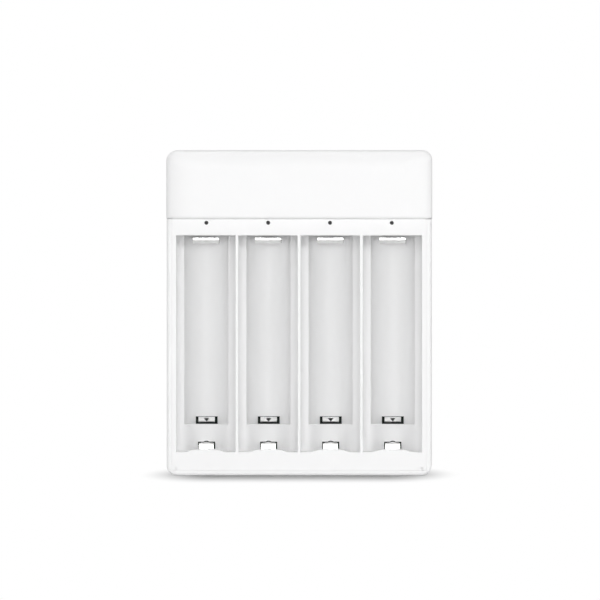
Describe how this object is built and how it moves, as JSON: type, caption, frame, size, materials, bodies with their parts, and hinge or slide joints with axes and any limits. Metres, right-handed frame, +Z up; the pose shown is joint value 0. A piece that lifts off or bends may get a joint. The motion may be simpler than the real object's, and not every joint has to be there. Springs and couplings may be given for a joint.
{
  "type": "battery charger",
  "caption": "Upright charger for small cylindrical cells: a thin box with open moulded bays under a rounded head, leaf contacts at the bays' ends, indicator lights and a power inlet on top.",
  "frame": {"origin": "middle of the footprint, on the surface that the charger stands on", "axes": "+X along the row of bays to the right as seen from the front, +Y from the front to the back, +Z up"},
  "size_m": [0.0666, 0.0256, 0.0814],
  "materials": {
    "shell_plastic": "fine satin moulded white",
    "tray_plastic": "fine satin moulded white",
    "board_green": "solder mask over glass laminate",
    "contact_nickel": "nickel plated spring strip",
    "clear_plastic": "clear moulded plastic",
    "lamp_white": "lamp body",
    "chip_black": "moulded package",
    "coil_ferrite": "pressed ferrite",
    "can_aluminium": "drawn can",
    "inlet_steel": "plated sheet",
    "inlet_black": "moulded tongue",
    "screw_steel": "dark plated"
  },
  "bodies": {
    "housing": {"bay_tray": "tray_plastic", "head_cover": "shell_plastic", "rear_housing": "shell_plastic", "main_board": "board_green", "positive_contact_1": "contact_nickel", "positive_contact_2": "contact_nickel", "positive_contact_3": "contact_nickel", "positive_contact_4": "contact_nickel", "light_pipe_1": "clear_plastic", "light_pipe_2": "clear_plastic", "light_pipe_3": "clear_plastic", "light_pipe_4": "clear_plastic", "indicator_led_1": "lamp_white", "indicator_led_2": "lamp_white", "indicator_led_3": "lamp_white", "indicator_led_4": "lamp_white", "channel_switch_1": "chip_black", "channel_switch_2": "chip_black", "channel_switch_3": "chip_black", "channel_switch_4": "chip_black", "power_coil_1": "coil_ferrite", "power_coil_2": "coil_ferrite", "input_capacitor": "can_aluminium", "output_capacitor": "can_aluminium", "charge_controller": "chip_black", "inlet_shell": "inlet_steel", "inlet_tongue": "inlet_black", "housing_screws": "screw_steel"},
    "thick_cell_spring_1": {"thick_contact_1": "contact_nickel"},
    "thin_cell_spring_1": {"thin_contact_1": "contact_nickel"},
    "thick_cell_spring_2": {"thick_contact_2": "contact_nickel"},
    "thin_cell_spring_2": {"thin_contact_2": "contact_nickel"},
    "thick_cell_spring_3": {"thick_contact_3": "contact_nickel"},
    "thin_cell_spring_3": {"thin_contact_3": "contact_nickel"},
    "thick_cell_spring_4": {"thick_contact_4": "contact_nickel"},
    "thin_cell_spring_4": {"thin_contact_4": "contact_nickel"}
  },
  "joints": [
    {"name": "thick_cell_spring_flex_1", "type": "hinge", "parent": "housing", "child": "thick_cell_spring_1", "pos_m": [-0.0234, 0.009, 0.0075], "axis": [1, 0, 0], "range_deg": [0, 7.5], "stiffness_Nm_per_rad": 0.22, "springref_deg": -1.15},
    {"name": "thick_cell_spring_flex_2", "type": "hinge", "parent": "housing", "child": "thick_cell_spring_2", "pos_m": [-0.0078, 0.009, 0.0075], "axis": [1, 0, 0], "range_deg": [0, 7.5], "stiffness_Nm_per_rad": 0.22, "springref_deg": -1.15},
    {"name": "thick_cell_spring_flex_3", "type": "hinge", "parent": "housing", "child": "thick_cell_spring_3", "pos_m": [0.0078, 0.009, 0.0075], "axis": [1, 0, 0], "range_deg": [0, 7.5], "stiffness_Nm_per_rad": 0.22, "springref_deg": -1.15},
    {"name": "thick_cell_spring_flex_4", "type": "hinge", "parent": "housing", "child": "thick_cell_spring_4", "pos_m": [0.0234, 0.009, 0.0075], "axis": [1, 0, 0], "range_deg": [0, 7.5], "stiffness_Nm_per_rad": 0.22, "springref_deg": -1.15},
    {"name": "thin_cell_spring_flex_1", "type": "hinge", "parent": "housing", "child": "thin_cell_spring_1", "pos_m": [-0.0234, 0.009, 0.01355], "axis": [1, 0, 0], "range_deg": [0, 16], "stiffness_Nm_per_rad": 0.043, "springref_deg": -2.86},
    {"name": "thin_cell_spring_flex_2", "type": "hinge", "parent": "housing", "child": "thin_cell_spring_2", "pos_m": [-0.0078, 0.009, 0.01355], "axis": [1, 0, 0], "range_deg": [0, 16], "stiffness_Nm_per_rad": 0.043, "springref_deg": -2.86},
    {"name": "thin_cell_spring_flex_3", "type": "hinge", "parent": "housing", "child": "thin_cell_spring_3", "pos_m": [0.0078, 0.009, 0.01355], "axis": [1, 0, 0], "range_deg": [0, 16], "stiffness_Nm_per_rad": 0.043, "springref_deg": -2.86},
    {"name": "thin_cell_spring_flex_4", "type": "hinge", "parent": "housing", "child": "thin_cell_spring_4", "pos_m": [0.0234, 0.009, 0.01355], "axis": [1, 0, 0], "range_deg": [0, 16], "stiffness_Nm_per_rad": 0.043, "springref_deg": -2.86}
  ]
}
